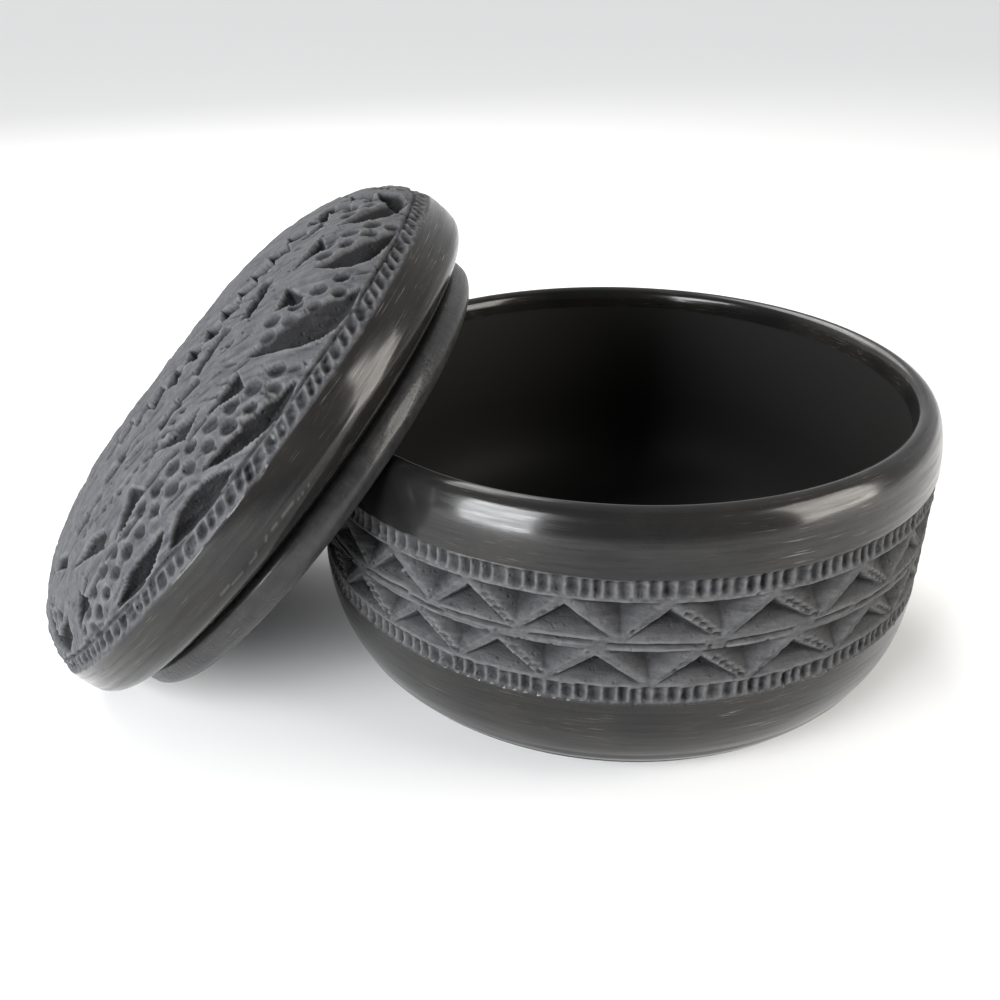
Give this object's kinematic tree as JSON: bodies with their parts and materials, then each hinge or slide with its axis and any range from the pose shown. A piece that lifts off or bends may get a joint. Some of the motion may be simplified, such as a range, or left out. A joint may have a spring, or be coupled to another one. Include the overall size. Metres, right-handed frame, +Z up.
{
  "type": "lidded clay pot",
  "caption": "Round burnished black clay pot with a chip-carved band, and its carved domed lid leaning on the rim.",
  "frame": {"origin": "middle of the bowl's foot, on the surface that the pot stands on", "axes": "+Z up along the bowl's own axis; the lid leans on the bowl from the -X side, in the XZ plane"},
  "size_m": [0.232, 0.16, 0.1209],
  "materials": {
    "bowl_clay": "burnished outside, matte where carved",
    "lid_clay": "burnished rim, matte carved dome"
  },
  "bodies": {
    "bowl": {"bowl": "bowl_clay"},
    "lid": {"lid": "lid_clay"}
  },
  "joints": [
    {"name": "lid_lift", "type": "slide", "parent": "bowl", "child": "lid", "axis": [-0.7431, 0, 0.6691], "range_m": [0, 0.09]}
  ]
}
